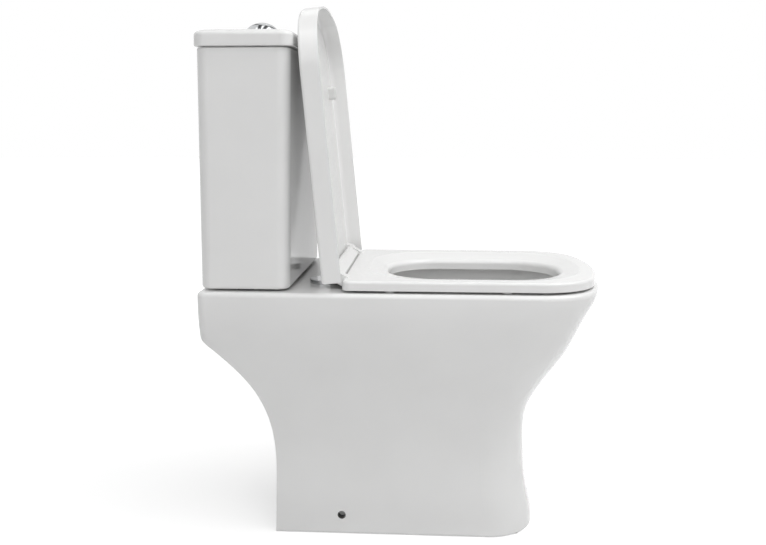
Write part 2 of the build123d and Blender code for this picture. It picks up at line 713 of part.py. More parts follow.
def make_fill_body():
    shank_foot = deck_under - SHANK_DROP
    thread_end = shank_foot + SHANK_LENGTH
    body = rod(SHANK_RADIUS, shank_foot, thread_end, FILL_X, FILL_Y)
    body += rod(SHANK_NECK, thread_end, flange_low, FILL_X, FILL_Y)
    body += rod(FILL_COLLAR, flange_low, flange_low + 5, FILL_X, FILL_Y)
    body += rod(RISER_RADIUS, flange_low + 5, RISER_TOP, FILL_X, FILL_Y)
    body += rod(RISER_RADIUS + 4, FLOAT_SEAT - 6, FLOAT_SEAT, FILL_X, FILL_Y)
    return body - rod(FILL_BORE, shank_foot - 1, RISER_TOP - 15, FILL_X, FILL_Y)


def make_fill_head():
    head = rod(HEAD_RADIUS, RISER_TOP, RISER_TOP + HEAD_HEIGHT, FILL_X, FILL_Y)
    head = fillet(head.edges().sort_by(Axis.Z)[-1:], 3)
    slot_low = ARM_HEIGHT - 6
    reach = FILL_X + HEAD_RADIUS + 1
    head -= block(FILL_X, reach, FILL_Y - 4.2, FILL_Y + 4.2, slot_low, RISER_TOP + HEAD_HEIGHT + 1)
    pin = Rot(90, 0, 0) * Cylinder(ARM_PIN_RADIUS, 60)
    return head - Pos(ARM_PIVOT_X, FILL_Y, ARM_HEIGHT) * pin


def make_fill_arm():
    tip = ARM_PIVOT_X + ARM_REACH + 6
    half = ARM_THICK / 2
    arm = block(ARM_PIVOT_X, tip, FILL_Y - 3.8, FILL_Y + 3.8, ARM_HEIGHT - half, ARM_HEIGHT + half)
    barrel = Rot(90, 0, 0) * Cylinder(3.4, 7.6)
    arm += Pos(ARM_PIVOT_X, FILL_Y, ARM_HEIGHT) * barrel
    fork = LINK_RADIUS + 0.3
    arm -= block(tip - 12, tip + 1, FILL_Y - fork, FILL_Y + fork, ARM_HEIGHT - 9, ARM_HEIGHT + 9)
    bore = Rot(90, 0, 0) * Cylinder(ARM_PIN_RADIUS + PIN_CLEARANCE, 20)
    return arm - Pos(ARM_PIVOT_X, FILL_Y, ARM_HEIGHT) * bore


def make_float():
    top = FLOAT_SEAT + FLOAT_HEIGHT
    inner = RISER_RADIUS + FLOAT_CLEARANCE
    cup = ring(FLOAT_RADIUS, inner, FLOAT_SEAT, top, FILL_X, FILL_Y)
    cup -= ring(FLOAT_RADIUS - 2.5, RISER_RADIUS + 6, FLOAT_SEAT - 1, top - 4, FILL_X, FILL_Y)
    link_x = ARM_PIVOT_X + ARM_REACH
    cup += block(FILL_X + FLOAT_RADIUS - 3, link_x + 3.5, FILL_Y - 4, FILL_Y + 4, top - 6, top)
    cup += rod(LINK_RADIUS, top - 3, ARM_HEIGHT + 9, link_x, FILL_Y)
    cup += rod(LINK_RADIUS + 1.4, ARM_HEIGHT - 7, ARM_HEIGHT - 4, link_x, FILL_Y)
    return cup


def hex_nut(flats, bore, low, high, x, y):
    plan = RegularPolygon(flats / 2, 6, major_radius=False)
    nut = Pos(x, y, low) * extrude(plan, amount=high - low)
    return nut - rod(bore, low - 1, high + 1, x, y)


def wing_nut(bore, low, high, x, y):
    hub = rod(bore + 5, low, high, x, y)
    wing = block(x - 1.6, x + 1.6, y - 17, y + 17, low - 5, high - 3)
    wing = fillet(wing.edges().filter_by(Axis.X), 3)
    return hub + wing - rod(bore, low - 6, high + 1, x, y)


def cistern_fixings():
    head_low = cistern_inside + 6
    bolts = hex_nut(13, 1, head_low, head_low + 6, BOLT_X, VALVE_Y)
    bolts = bolts + rod(BOLT_RADIUS, deck_under - 34, head_low + 6, BOLT_X, VALVE_Y)
    seal = ring(13, BOLT_RADIUS, cistern_inside, cistern_inside + 4, BOLT_X, VALVE_Y)
    upper = ring(11, BOLT_RADIUS, cistern_inside + 4, head_low, BOLT_X, VALVE_Y)
    lower = ring(12, BOLT_RADIUS, deck_under - 2, deck_under, BOLT_X, VALVE_Y)
    nut = wing_nut(BOLT_RADIUS, deck_under - 12, deck_under - 2, BOLT_X, VALVE_Y)
    return bolts, seal, upper + lower, nut


def make_seat():
    def outline(height):
        return d_outline(
            SEAT_HALF_WIDTH, SEAT_FRONT, SEAT_REAR, SEAT_CORNER, RIM_BOW, 12, height
        )

    def hole(height, grow=0):
        half_width = HOLE_HALF_WIDTH + grow
        corner = HOLE_HALF_WIDTH * 0.86 + grow
        return d_outline(
            half_width,
            HOLE_FRONT - grow,
            HOLE_REAR + grow,
            corner,
            HOLE_HALF_WIDTH * 2.4 + grow,
            corner,
            height,
        )

    def ridge(height):
        corner = RIDGE_HALF_WIDTH * 0.7
        return d_outline(
            RIDGE_HALF_WIDTH,
            RIDGE_FRONT,
            RIDGE_REAR,
            corner,
            RIDGE_HALF_WIDTH * 2.2,
            corner,
            height,
        )

    plate = extrude(outline(SEAT_BOTTOM), amount=SEAT_THICK)
    plate = fillet(plate.faces().sort_by(Axis.Z)[-1].edges(), SEAT_EDGE)
    plate = fillet(plate.faces().sort_by(Axis.Z)[0].edges(), 1.5)
    dish = loft([hole(SEAT_BOTTOM + SEAT_LIP), ridge(seat_top)])
    plate -= dish
    skirt_foot = SEAT_BOTTOM - SEAT_SKIRT
    plate += extrude(hole(skirt_foot, SEAT_SKIRT_WALL), amount=SEAT_SKIRT + SEAT_LIP - 1)
    plate -= extrude(hole(skirt_foot - 1), amount=SEAT_SKIRT + SEAT_THICK + 2)
    soft = [e for e in plate.edges() if abs(e.center().Z - seat_top) < 0.01]
    soft = [e for e in soft if RIDGE_FRONT - 1 < e.center().Y < RIDGE_REAR + 1]
    soft = [e for e in soft if abs(e.center().X) < RIDGE_HALF_WIDTH + 1]
    plate = fillet(soft, RIDGE_ROUND)
    rolled = [e for e in plate.edges() if abs(e.center().Z - SEAT_BOTTOM - SEAT_LIP) < 0.01]
    plate = fillet(rolled, SEAT_ROLL)
    ear = ear_block(SEAT_EAR, EAR_RADIUS, SEAT_REAR - 8, SEAT_REAR, SEAT_BOTTOM, seat_top)
    return plate + both_sides(ear) - pin_bores(SEAT_EAR)


def ear_block(span, radius, y_low, y_high, z_low, z_high):
    # A lug that blends from a plate edge into a round eye on the hinge line
    eye = Pos(PIVOT_Y, PIVOT_HEIGHT) * Circle(radius)
    edge = Pos((y_low + y_high) / 2, (z_low + z_high) / 2) * Rectangle(y_high - y_low, z_high - z_low)
    plan = make_hull(eye.edges() + edge.edges())
    return extrude(Pos(span[0], 0, 0) * (Plane.YZ * plan), amount=span[1] - span[0], dir=(1, 0, 0))


def pin_bores(span):
    bore = cross_rod(PIN_RADIUS + PIN_CLEARANCE, span[0] - 1, span[1] + 1, PIVOT_Y, PIVOT_HEIGHT)
    return both_sides(bore)


def lid_open(shape):
    turn = Pos(0, PIVOT_Y, PIVOT_HEIGHT) * Rot(-LID_OPEN_ANGLE, 0, 0)
    return turn * Pos(0, -PIVOT_Y, -PIVOT_HEIGHT) * shape


def make_lid():
    # Modelled shut, then swung open
    rear = PIVOT_Y + LID_TAIL
    outer = d_outline(LID_HALF_WIDTH, LID_FRONT, rear, LID_CORNER, LID_BOW, 3, lid_bottom)
    lid = extrude(outer, amount=lid_top - lid_bottom)
    top_edges = [e for e in lid.faces().sort_by(Axis.Z)[-1].edges() if e.center().Y < rear - 2]
    lid = fillet(top_edges, LID_EDGE)
    inner = d_outline(
        LID_HALF_WIDTH - LID_WALL,
        LID_FRONT + LID_WALL,
        rear + 40,
        LID_CORNER - LID_WALL,
        LID_BOW - LID_WALL,
        12,
        lid_bottom - 1,
    )
    space = extrude(inner, amount=lid_top - LID_WALL - lid_bottom + 1)
    lid -= fillet(space.faces().sort_by(Axis.Z)[-1].edges(), LID_INNER_EDGE)
    heel = [
        e
        for e in lid.edges().filter_by(Axis.X)
        if abs(e.center().Y - rear) < 0.5 and abs(e.center().Z - lid_bottom) < 0.5
    ]
    if heel:
        lid = fillet(heel, LID_TAIL - 1)
    plate = lid_top - LID_WALL
    ear = ear_block(LID_EAR, EAR_RADIUS, PIVOT_Y - 10, PIVOT_Y + LID_TAIL - 1, plate - 2, plate + 1)
    lid += both_sides(ear)
    return lid_open(lid - pin_bores(LID_EAR))


def lid_buffers():
    plate = lid_top - LID_WALL
    low = seat_top + BUFFER_REST
    half = LID_BUFFER_WIDTH / 2
    middle = LID_FRONT + LID_BUFFER_INSET
    reach = LID_BUFFER_LENGTH / 2
    pad = block(LID_BUFFER_X - half, LID_BUFFER_X + half, middle - reach, middle + reach, low, plate)
    pad = fillet(pad.edges().filter_by(Axis.Z), 5)
    pad = fillet(pad.faces().sort_by(Axis.Z)[0].edges(), 2)
    return lid_open(both_sides(pad))


def seat_buffers():
    pads = []
    front = SEAT_FRONT + SEAT_BUFFER_INSET
    for y in (front, front + SEAT_BUFFER_SPACING):
        pad = rod(SEAT_BUFFER_RADIUS, deck_top + BUFFER_REST, SEAT_BOTTOM, SEAT_BUFFER_X, y)
        pads.append(fillet(pad.edges().sort_by(Axis.Z)[:1], 1.5))
    return both_sides(pads[0] + pads[1])


def make_hinge_bar():
    # A strip that slopes up from the seat's rear edge and rounds over the hinge line
    low = deck_top + DISC_THICK
    high = seat_top + BAR_STEP
    back = PIVOT_Y + BAR_ROUND
    eye = Pos(PIVOT_Y, PIVOT_HEIGHT) * Circle(BAR_ROUND)
    foot = Pos((BAR_FRONT + back) / 2, (low + high) / 2) * Rectangle(back - BAR_FRONT, high - low)
    plan = Plane.YZ * make_hull(eye.edges() + foot.edges())
    bar = extrude(plan, amount=BAR_HALF_LENGTH, dir=(1, 0, 0), both=True)
    socket = cross_rod(DAMPER_RADIUS, BAR_HALF_LENGTH - DAMPER_LENGTH, BAR_HALF_LENGTH + 1,
                       PIVOT_Y, PIVOT_HEIGHT)
    peg = rod(PIN_RADIUS, low - 1, low + PEG_HEIGHT, FIXING_X, PIVOT_Y - 3)
    return bar - both_sides(socket) - both_sides(peg)


def make_discs():
    top = deck_top + DISC_THICK
    disc = rod(DISC_RADIUS, deck_top, top, FIXING_X, FIXING_Y)
    disc = fillet(disc.edges().sort_by(Axis.Z)[-1:], 1.5)
    disc += rod(PIN_RADIUS, top - 1, top + PEG_HEIGHT, FIXING_X, PIVOT_Y - 3)
    return both_sides(disc)


full_button, half_button, button_base = make_buttons()
bolts, bolt_seals, bolt_washers, bolt_nuts = cistern_fixings()
damper_out = BAR_HALF_LENGTH
damper_in = BAR_HALF_LENGTH - DAMPER_LENGTH
hinge_line = (PIVOT_Y, PIVOT_HEIGHT)
plunger = make_plunger()
cistern_pad = block(
    PAD_INNER, PAD_OUTER, VALVE_Y - PAD_DEPTH / 2, VALVE_Y + PAD_DEPTH / 2, deck_top, cistern_foot
)
arm_pin = Rot(90, 0, 0) * Cylinder(ARM_PIN_RADIUS, 2 * HEAD_RADIUS - 6)

nodes = {
    "pan": make_pan(),
    "cistern": make_cistern(),
    "cistern_lid": make_cover(),
    "cistern_pads": both_sides(cistern_pad),
    "cistern_bolts": both_sides(bolts),
    "bolt_seals": both_sides(bolt_seals),
    "bolt_washers": both_sides(bolt_washers),
    "bolt_wing_nuts": both_sides(bolt_nuts),
    "doughnut_seal": make_doughnut(),
    "flush_valve_base": make_valve_base(),
    "flush_valve_washer": ring(
        VALVE_FLANGE_RADIUS, VALVE_TAIL_RADIUS, cistern_inside, flange_low, 0, VALVE_Y
    ),
    "flush_valve_back_nut": make_back_nut(),
    "flush_valve_tower": make_tower(),
    "overflow_tube": make_tube(),
    "overflow_seal": ring(
        VALVE_TAIL_RADIUS + 1, TUBE_RADIUS, seal_low, seal_low + WASHER, 0, VALVE_Y
    ),
    "button_bezel": make_bezel(),
    "button_ring_nut": ring(
        SLEEVE_RADIUS + 10, SLEEVE_RADIUS, bezel_foot - COVER_ROOF - 9, bezel_foot - COVER_ROOF, 0, VALVE_Y
    ),
    "full_flush_button": full_button,
    "half_flush_button": half_button,
    "full_flush_rod": rod(ROD_RADIUS, ROD_END, button_base, -ROD_X, VALVE_Y),
    "half_flush_rod": rod(ROD_RADIUS, ROD_END, button_base, ROD_X, VALVE_Y),
    "full_flush_plunger": mirror(plunger, Plane.YZ),
    "half_flush_plunger": plunger,
    "fill_valve_body": make_fill_body(),
    "fill_valve_washer": ring(FILL_COLLAR, SHANK_NECK, cistern_inside, flange_low, FILL_X, FILL_Y),
    "fill_valve_back_nut": hex_nut(30, SHANK_NECK, cistern_foot - 9, cistern_foot, FILL_X, FILL_Y),
    "fill_valve_head": make_fill_head(),
    "fill_valve_arm": make_fill_arm(),
    "fill_valve_arm_pin": Pos(ARM_PIVOT_X, FILL_Y, ARM_HEIGHT) * arm_pin,
    "fill_valve_float": make_float(),
    "seat": make_seat(),
    "seat_buffers": seat_buffers(),
    "lid": make_lid(),
    "lid_buffers": lid_buffers(),
    "hinge_bar": make_hinge_bar(),
    "hinge_discs": make_discs(),
    "hinge_dampers": both_sides(cross_rod(DAMPER_RADIUS, damper_in, damper_out - 2, *hinge_line)),
    "hinge_pins": both_sides(cross_rod(PIN_RADIUS, damper_out - 2, PIN_END, *hinge_line)),
    "hinge_studs": both_sides(rod(STUD_RADIUS, deck_under - 36, deck_top, FIXING_X, FIXING_Y)),
    "hinge_bushes": both_sides(
        ring(HINGE_HOLE_RADIUS + 5, STUD_RADIUS, deck_under - 8, deck_under, FIXING_X, FIXING_Y)
    ),
    "hinge_wing_nuts": both_sides(
        wing_nut(STUD_RADIUS, deck_under - 20, deck_under - 8, FIXING_X, FIXING_Y)
    ),
}
for name, shape in nodes.items():
    export_step(shape, f"parts/{name}.step")
    box = shape.bounding_box()
    print(name, len(shape.solids()), [round(v, 1) for v in (*box.min, *box.max)])
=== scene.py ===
import bpy
import bmesh
from math import radians, pi
from mathutils import Matrix, Vector


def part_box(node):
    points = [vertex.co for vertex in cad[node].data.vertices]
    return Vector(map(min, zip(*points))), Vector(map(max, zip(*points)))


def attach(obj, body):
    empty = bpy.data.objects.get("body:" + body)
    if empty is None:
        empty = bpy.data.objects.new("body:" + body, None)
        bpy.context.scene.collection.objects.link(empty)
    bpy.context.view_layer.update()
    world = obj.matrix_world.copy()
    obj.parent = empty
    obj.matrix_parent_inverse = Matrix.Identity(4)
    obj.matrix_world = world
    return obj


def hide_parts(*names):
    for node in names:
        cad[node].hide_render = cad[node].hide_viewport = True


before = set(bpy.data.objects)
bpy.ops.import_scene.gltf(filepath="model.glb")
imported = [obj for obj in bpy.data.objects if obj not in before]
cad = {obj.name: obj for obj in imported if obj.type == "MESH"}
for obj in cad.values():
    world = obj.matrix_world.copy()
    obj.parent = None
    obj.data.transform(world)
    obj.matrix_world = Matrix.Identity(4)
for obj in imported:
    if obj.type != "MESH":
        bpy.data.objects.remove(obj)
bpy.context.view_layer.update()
scene = bpy.context.scene
scene.view_settings.view_transform = "Standard"
white = (1.0, 1.0, 1.0, 1.0)
black = (0.0, 0.0, 0.0, 1.0)
print("frame loaded:", len(cad), "nodes")


# camera at the photograph's angle, from the toilet's left
photoCamera = {
    "place": (-1.45, -0.0532, 0.647),
    "turn": (84.77, 0.0, -86.34),  # degrees
    "lens": 41.86,
    "shiftY": -0.0875,
    "clipEnd": 60.0,
}
lens = bpy.data.cameras.new("photoCamera")
lens.lens = photoCamera["lens"]
lens.shift_y = photoCamera["shiftY"]
lens.clip_end = photoCamera["clipEnd"]
viewer = bpy.data.objects.new("photoCamera", lens)
viewer.location = photoCamera["place"]
viewer.rotation_euler = [radians(a) for a in photoCamera["turn"]]
scene.collection.objects.link(viewer)
scene.camera = viewer
print("camera set")


# node helpers for the finishes
noiseSpan = (0.3, 0.7)  # most of a noise's values lie in here


def startFinish(name):
    finish = bpy.data.materials.new(name)
    finish.use_nodes = True
    tree = finish.node_tree
    place = tree.nodes.new("ShaderNodeTexCoord").outputs["Object"]
    return finish, tree, tree.nodes["Principled BSDF"], place


def mottle(tree, place, scale, detail, stretch=None):
    if stretch:
        pull = tree.nodes.new("ShaderNodeMapping")
        pull.inputs["Scale"].default_value = stretch
        tree.links.new(place, pull.inputs["Vector"])
        place = pull.outputs["Vector"]
    noise = tree.nodes.new("ShaderNodeTexNoise")
    noise.inputs["Scale"].default_value = scale
    noise.inputs["Detail"].default_value = detail
    tree.links.new(place, noise.inputs["Vector"])
    return noise.outputs["Fac"]


def between(tree, source, low, high, start=noiseSpan[0], end=noiseSpan[1]):
    spread = tree.nodes.new("ShaderNodeMapRange")
    spread.inputs["From Min"].default_value = start
    spread.inputs["From Max"].default_value = end
    spread.inputs["To Min"].default_value = low
    spread.inputs["To Max"].default_value = high
    tree.links.new(source, spread.inputs["Value"])
    return spread.outputs["Result"]


def tint(tree, source, colours):
    ramp = tree.nodes.new("ShaderNodeValToRGB")
    for stop, position, colour in zip(ramp.color_ramp.elements, noiseSpan, colours):
        stop.position = position
        stop.color = (*colour, 1.0)
    tree.links.new(source, ramp.inputs["Fac"])
    return ramp.outputs["Color"]


def ripple(tree, shader, source, strength, depth):
    bump = tree.nodes.new("ShaderNodeBump")
    bump.inputs["Strength"].default_value = strength
    bump.inputs["Distance"].default_value = depth
    tree.links.new(source, bump.inputs["Height"])
    tree.links.new(bump.outputs["Normal"], shader.inputs["Normal"])


def reckon(tree, operation, *sources):
    step = tree.nodes.new("ShaderNodeMath")
    step.operation = operation
    for socket, source in zip(step.inputs, sources):
        if isinstance(source, float):
            socket.default_value = source
        else:
            tree.links.new(source, socket)
    return step.outputs[0]


def distance(tree, place):
    away = tree.nodes.new("ShaderNodeVectorMath")
    away.operation = "LENGTH"
    tree.links.new(place, away.inputs[0])
    return away.outputs["Value"]


def axes(tree, place):
    parts = tree.nodes.new("ShaderNodeSeparateXYZ")
    tree.links.new(place, parts.inputs["Vector"])
    return parts.outputs


glazeLook = {
    "white": ((0.845, 0.845, 0.84), (0.87, 0.87, 0.865)),
    "cloud": (9.0, 2.0),  # slow drift of the white; each noise is a scale and a detail
    "haze": (60.0, 4.0),
    "roughness": (0.07, 0.12),
    "ior": 1.52,
    "wave": (26.0, 1.0),  # the fired glaze is never quite flat
    "waveStrength": 0.12,
    "waveDepth": 0.0006,
    "boreLine": (0.0, 0.099, 0.03),  # axis of the side fixing bores, whose insides get painted shade
    "boreRadius": 0.0068,
    "boreMouth": 0.0955,
    # painted shade: a dark colour standing in for the shade deep inside the bores
    "boreShadeColour": (0.09, 0.088, 0.084, 1.0),
}


# mask of the inside of the side fixing bores, where shade is painted
def insideBore(tree, place):
    across = tree.nodes.new("ShaderNodeVectorMath")
    across.operation = "MULTIPLY_ADD"
    across.inputs[1].default_value = (0.0, 1.0, 1.0)
    across.inputs[2].default_value = [-a for a in glazeLook["boreLine"]]
    tree.links.new(place, across.inputs[0])
    off = distance(tree, across.outputs["Vector"])
    depth = reckon(tree, "ABSOLUTE", axes(tree, place)["X"])
    near = reckon(tree, "LESS_THAN", off, glazeLook["boreRadius"])
    deep = reckon(tree, "LESS_THAN", depth, glazeLook["boreMouth"])
    return reckon(tree, "MULTIPLY", near, deep)


def chinaGlaze():
    finish, tree, shader, place = startFinish("chinaGlaze")
    cloud = mottle(tree, place, *glazeLook["cloud"])
    # the glaze's white, with painted shade inside the side fixing bores
    boreShade = tree.nodes.new("ShaderNodeMix")
    boreShade.data_type = "RGBA"
    glazed, paintedShade = [socket for socket in boreShade.inputs if socket.type == "RGBA"]
    tree.links.new(insideBore(tree, place), boreShade.inputs["Factor"])
    tree.links.new(tint(tree, cloud, glazeLook["white"]), glazed)
    paintedShade.default_value = glazeLook["boreShadeColour"]
    colour = [socket for socket in boreShade.outputs if socket.type == "RGBA"][0]
    tree.links.new(colour, shader.inputs["Base Color"])
    haze = mottle(tree, place, *glazeLook["haze"])
    tree.links.new(between(tree, haze, *glazeLook["roughness"]), shader.inputs["Roughness"])
    shader.inputs["IOR"].default_value = glazeLook["ior"]
    wave = mottle(tree, place, *glazeLook["wave"])
    ripple(tree, shader, wave, glazeLook["waveStrength"], glazeLook["waveDepth"])
    return finish


seatLook = {
    "white": ((0.865, 0.865, 0.86), (0.885, 0.885, 0.88)),
    "cloud": (7.0, 2.0),
    "fine": (180.0, 4.0),
    "roughness": (0.13, 0.19),
    "ior": 1.5,
    "flow": (18.0, 1.0),  # sink and flow of the moulding
    "flowStrength": 0.05,
    "flowDepth": 0.0004,
}


def seatPlastic():
    finish, tree, shader, place = startFinish("seatPlastic")
    cloud = mottle(tree, place, *seatLook["cloud"])
    tree.links.new(tint(tree, cloud, seatLook["white"]), shader.inputs["Base Color"])
    fine = mottle(tree, place, *seatLook["fine"])
    tree.links.new(between(tree, fine, *seatLook["roughness"]), shader.inputs["Roughness"])
    shader.inputs["IOR"].default_value = seatLook["ior"]
    flow = mottle(tree, place, *seatLook["flow"])
    ripple(tree, shader, flow, seatLook["flowStrength"], seatLook["flowDepth"])
    return finish


chromeLook = {
    "plate": ((0.53, 0.54, 0.55), (0.60, 0.61, 0.62)),
    "cloud": (90.0, 3.0),
    "wipe": (1.0, 4.0, (30.0, 420.0, 60.0)),  # faint wipe marks, with a stretch
    "roughness": (0.05, 0.12),
}


def chromePlate():
    finish, tree, shader, place = startFinish("chromePlate")
    shader.inputs["Metallic"].default_value = 1.0
    cloud = mottle(tree, place, *chromeLook["cloud"])
    tree.links.new(tint(tree, cloud, chromeLook["plate"]), shader.inputs["Base Color"])
    wipe = mottle(tree, place, *chromeLook["wipe"])
    tree.links.new(between(tree, wipe, *chromeLook["roughness"]), shader.inputs["Roughness"])
    return finish


steelLook = {
    "zinc": ((0.48, 0.48, 0.47), (0.62, 0.62, 0.60)),
    "cloud": (220.0, 4.0),
    "turned": (1.0, 3.0, (120.0, 120.0, 1500.0)),  # turning marks, with a stretch
    "roughness": (0.28, 0.45),
    "markStrength": 0.15,
    "markDepth": 0.0002,
}


def zincSteel():
    finish, tree, shader, place = startFinish("zincSteel")
    shader.inputs["Metallic"].default_value = 1.0
    cloud = mottle(tree, place, *steelLook["cloud"])
    tree.links.new(tint(tree, cloud, steelLook["zinc"]), shader.inputs["Base Color"])
    turned = mottle(tree, place, *steelLook["turned"])
    tree.links.new(between(tree, turned, *steelLook["roughness"]), shader.inputs["Roughness"])
    ripple(tree, shader, turned, steelLook["markStrength"], steelLook["markDepth"])
    return finish


mouldCloud = (40.0, 3.0)
mouldStrength = 0.3
mouldLooks = {
    "valveWhite": {
        "colours": ((0.70, 0.72, 0.73), (0.76, 0.78, 0.79)),
        "roughness": (0.34, 0.5),
        "skin": (600.0, 4.0),
        "depth": 0.0002,
    },
    "valveDark": {
        "colours": ((0.035, 0.037, 0.04), (0.055, 0.057, 0.06)),
        "roughness": (0.4, 0.55),
        "skin": (600.0, 4.0),
        "depth": 0.0002,
    },
    "valveGrey": {
        "colours": ((0.40, 0.44, 0.47), (0.46, 0.50, 0.53)),
        "roughness": (0.36, 0.5),
        "skin": (600.0, 4.0),
        "depth": 0.0002,
    },
    "blackRubber": {
        "colours": ((0.018, 0.018, 0.019), (0.03, 0.03, 0.031)),
        "roughness": (0.62, 0.8),
        "skin": (900.0, 4.0),
        "depth": 0.0003,
    },
    "paleRubber": {
        "colours": ((0.72, 0.72, 0.71), (0.78, 0.78, 0.77)),
        "roughness": (0.45, 0.6),
        "skin": (900.0, 4.0),
        "depth": 0.0003,
    },
}


def moulded(name):
    look = mouldLooks[name]
    finish, tree, shader, place = startFinish(name)
    cloud = mottle(tree, place, *mouldCloud)
    tree.links.new(tint(tree, cloud, look["colours"]), shader.inputs["Base Color"])
    skin = mottle(tree, place, *look["skin"])
    tree.links.new(between(tree, skin, *look["roughness"]), shader.inputs["Roughness"])
    ripple(tree, shader, skin, mouldStrength, look["depth"])
    return finish


glaze = chinaGlaze()
plastic = seatPlastic()
chrome = chromePlate()
steel = zincSteel()
valveWhite = moulded("valveWhite")
valveDark = moulded("valveDark")
valveGrey = moulded("valveGrey")
blackRubber = moulded("blackRubber")
paleRubber = moulded("paleRubber")

wears = {
    glaze: ["pan", "cistern", "cistern_lid"],
    plastic: ["seat", "lid", "hinge_bar"],
    chrome: ["button_bezel", "full_flush_button", "half_flush_button", "hinge_discs"],
    steel: ["cistern_bolts", "bolt_washers", "bolt_wing_nuts", "fill_valve_arm_pin",
            "hinge_dampers", "hinge_pins", "hinge_studs"],
    valveWhite: ["flush_valve_tower", "overflow_tube", "full_flush_rod", "half_flush_rod",
                 "full_flush_plunger", "half_flush_plunger",
                 "fill_valve_body", "button_ring_nut", "hinge_wing_nuts"],
    valveDark: ["flush_valve_base", "flush_valve_back_nut", "fill_valve_back_nut",
                "fill_valve_head"],
    valveGrey: ["fill_valve_float", "fill_valve_arm"],
    blackRubber: ["cistern_pads", "bolt_seals", "doughnut_seal", "flush_valve_washer",
                  "overflow_seal", "fill_valve_washer", "hinge_bushes"],
    paleRubber: ["seat_buffers", "lid_buffers"],
}
for finish, names in wears.items():
    for name in names:
        cad[name].data.materials.clear()
        cad[name].data.materials.append(finish)
print("finishes on", sum(len(n) for n in wears.values()), "nodes")


# helpers for the pieces that are drawn here
weld = 1e-6


def settle(shape, name, finish, body, sharp=35.0):
    bmesh.ops.remove_doubles(shape, verts=shape.verts, dist=weld)
    bmesh.ops.recalc_face_normals(shape, faces=shape.faces)
    mesh = bpy.data.meshes.new(name)
    shape.to_mesh(mesh)
    shape.free()
    mesh.shade_smooth()
    mesh.set_sharp_from_angle(angle=radians(sharp))
    mesh.materials.append(finish)
    piece = bpy.data.objects.new(name, mesh)
    scene.collection.objects.link(piece)
    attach(piece, body)
    return piece


def middle(node):
    low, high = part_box(node)
    return (Vector(low) + Vector(high)) / 2


# the cover's skin: a copy of the casting with its straight sides and its crown drawn quite true
coverLook = {
    "corner": 0.017,
    "cornerShrink": 0.15,  # the outline's corners tighten on the way in
    "cornerLeast": 0.008,
    "trueBelowTop": (0.0206, 0.0129),  # the straight sides
    "reach": 0.0015,  # the furthest that a point is moved
    "crownStart": 0.0093,  # in from the edge, where the shoulder ends
    "crownDrop": 0.004315,  # height of the pad's outline over that line
    "crownSlack": 0.0005,
    "padInset": 0.058,
    "padCuts": 7,
    "pocketReach": 0.0318,  # the bezel's pocket keeps its floor
    "pocketDrop": 0.0025,
    "flat": 1e-5,  # how far below the top the pad's faces may lie
    "level": 0.999,  # least upward part of their normals
    "halvings": 24,  # steps of the search for a point's inset
    "sharp": 30.0,
}


def trueSides(shape, low, high, look):
    centre = (low + high) / 2
    straight = (high - low) / 2 - Vector((look["corner"], look["corner"], 0.0))
    foot, head = (high.z - drop for drop in look["trueBelowTop"])
    for vert in shape.verts:
        if not foot < vert.co.z < head:
            continue
        side = [1.0 if vert.co[axis] > centre[axis] else -1.0 for axis in (0, 1)]
        out = Vector([abs(vert.co[axis] - centre[axis]) - straight[axis] for axis in (0, 1)])
        if out.x > 0.0 and out.y > 0.0:
            edge = out.normalized() * look["corner"]
        elif out.x > out.y:
            edge = Vector((look["corner"], out.y))
        else:
            edge = Vector((out.x, look["corner"]))
        if (edge - out).length < look["reach"]:
            for axis in (0, 1):
                vert.co[axis] = centre[axis] + side[axis] * (straight[axis] + edge[axis])


def crownInset(offset, half, look):
    near, far = 0.0, half.y
    for halving in range(look["halvings"]):
        inset = (near + far) / 2
        corner = max(look["corner"] - look["cornerShrink"] * inset, look["cornerLeast"])
        corner = min(corner, half.y - inset)
        out = offset - half + Vector((inset + corner, inset + corner))
        over = Vector((max(out.x, 0.0), max(out.y, 0.0))).length
        over += min(max(out.x, out.y), 0.0) - corner
        if over > 0.0:
            far = inset
        else:
            near = inset
    return inset


def swellCrown(shape, low, high, look):
    half = ((high - low) / 2).xy
    centre = ((low + high) / 2).xy
    button = middle("button_bezel").xy
    padLow = high.z - look["flat"]
    pad = [f for f in shape.faces
           if f.normal.z > look["level"] and all(v.co.z > padLow for v in f.verts)]
    bmesh.ops.subdivide_edges(shape, edges=list({e for f in pad for e in f.edges}),
                              cuts=look["padCuts"], use_grid_fill=True)
    run = half.y - look["crownStart"]
    padRun = look["padInset"] - look["crownStart"]
    bend = look["crownDrop"] / (2 * run * padRun - padRun ** 2)  # the pad's outline stays put
    for vert in shape.verts:
        drop = high.z - vert.co.z
        inReach = (vert.co.xy - button).length < look["pocketReach"]
        if drop > look["crownDrop"] + look["crownSlack"] or inReach and drop > look["pocketDrop"]:
            continue
        offset = Vector([abs(vert.co[axis] - centre[axis]) for axis in (0, 1)])
        past = crownInset(offset, half, look) - look["crownStart"]
        if past > 0.0:
            vert.co.z = high.z - look["crownDrop"] + bend * (2 * run * past - past ** 2)


def coverSkin(look):
    shape = bmesh.new()
    shape.from_mesh(cad["cistern_lid"].data)
    bmesh.ops.remove_doubles(shape, verts=shape.verts, dist=weld)
    low, high = (Vector(corner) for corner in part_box("cistern_lid"))
    trueSides(shape, low, high, look)
    shape.normal_update()
    swellCrown(shape, low, high, look)
    piece = settle(shape, "coverSkin", glaze, "cistern_cover", look["sharp"])
    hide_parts("cistern_lid")


coverSkin(coverLook)
print("cover skin drawn")


